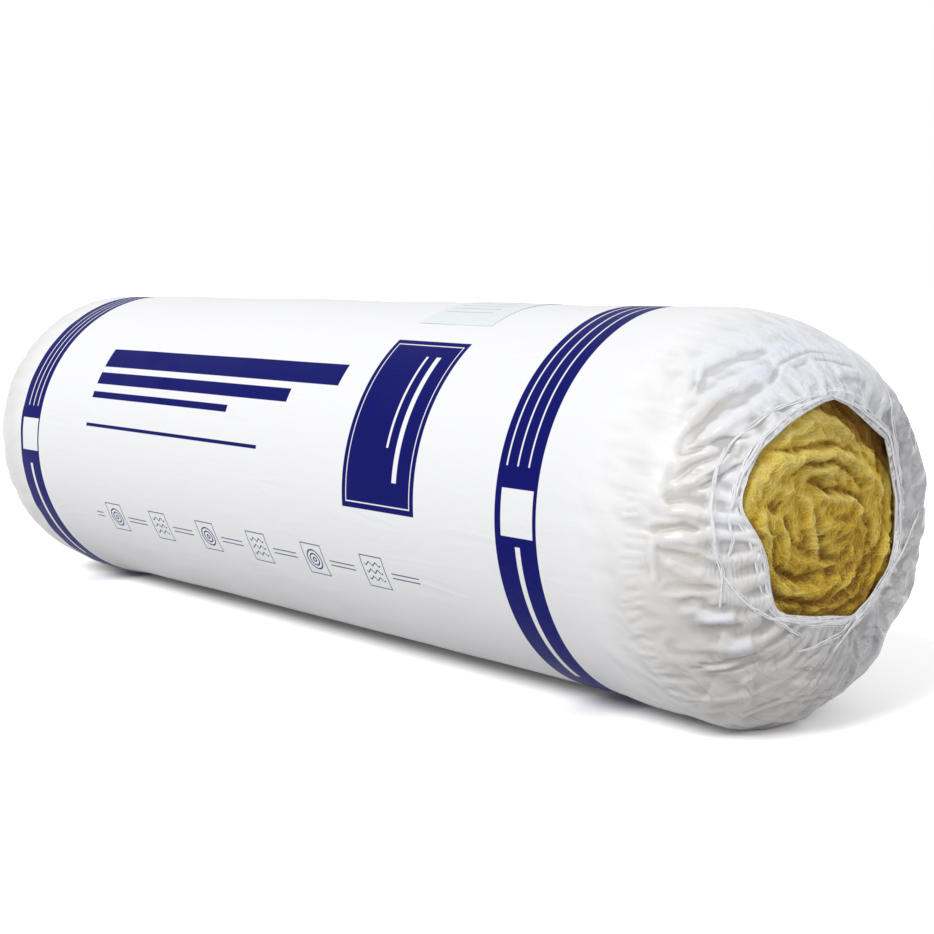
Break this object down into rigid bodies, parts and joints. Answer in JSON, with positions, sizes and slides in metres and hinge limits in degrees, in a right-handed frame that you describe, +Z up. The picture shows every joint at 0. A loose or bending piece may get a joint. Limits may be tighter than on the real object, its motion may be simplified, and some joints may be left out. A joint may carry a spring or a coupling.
{
  "type": "insulation roll",
  "caption": "Long roll of yellow glass wool matting pressed into a white printed film sleeve, gathered at both ends round an open mouth.",
  "frame": {"origin": "on the floor plane, under the middle of the roll", "axes": "+X along the roll's axis towards its front end, +Z up"},
  "size_m": [1.222, 0.3644, 0.3651],
  "materials": {
    "glass_wool": "soft matted glass fibre, golden yellow, browner in its folds",
    "printed_film": "thin crinkled white polyethylene film with navy printing",
    "label_paper": "pale grey coated paper with faint grey rules"
  },
  "bodies": {
    "root": {"wool_roll": "glass_wool", "film_sleeve": "printed_film", "label": "label_paper"}
  },
  "joints": []
}
